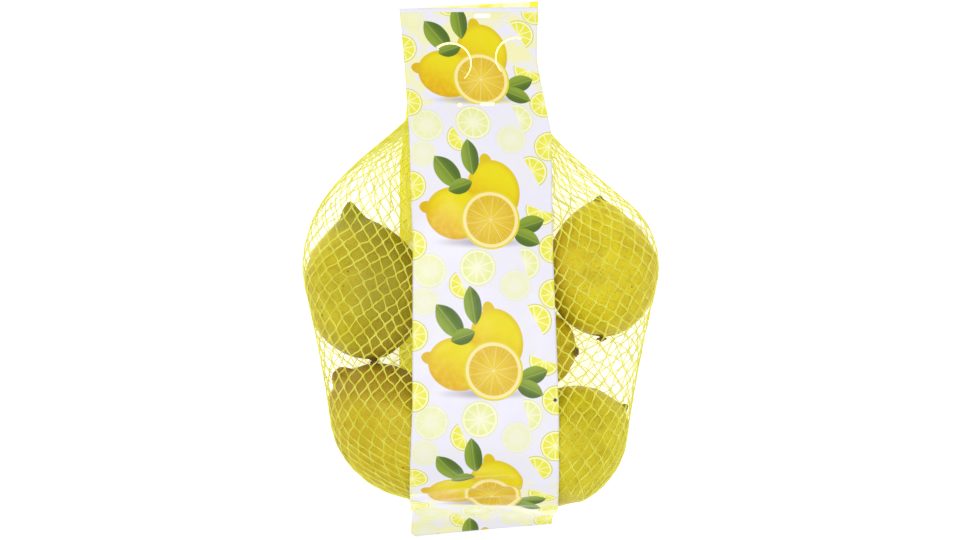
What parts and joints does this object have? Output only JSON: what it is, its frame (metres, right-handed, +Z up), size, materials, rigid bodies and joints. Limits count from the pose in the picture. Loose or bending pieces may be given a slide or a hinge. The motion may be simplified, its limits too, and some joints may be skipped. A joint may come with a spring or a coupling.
{
  "type": "net of lemons",
  "caption": "Net of lemons: whole yellow lemons in a knitted tube net that is caught between printed film bands, with a punched header above and a short tail below, lying on its back.",
  "frame": {"origin": "on the ground, under the middle of the pack's length and width", "axes": "+Y towards the header, +X across the pack to the right as the printed band is read, +Z up, out of the printed band"},
  "size_m": [0.194, 0.3034, 0.0659],
  "materials": {
    "net_yarn": "soft satin yellow yarn of a knitted plastic net",
    "lemon_peel": "satin lemon peel with fine pores",
    "stem_end": "dry brown stem button",
    "printed_film": "glossy white plastic film with a lemon print",
    "back_film": "glossy white plastic film with yellow shapes"
  },
  "bodies": {
    "root": {"filled_net": "net_yarn", "front_film": "printed_film", "back_film": "back_film"}
  },
  "joints": []
}
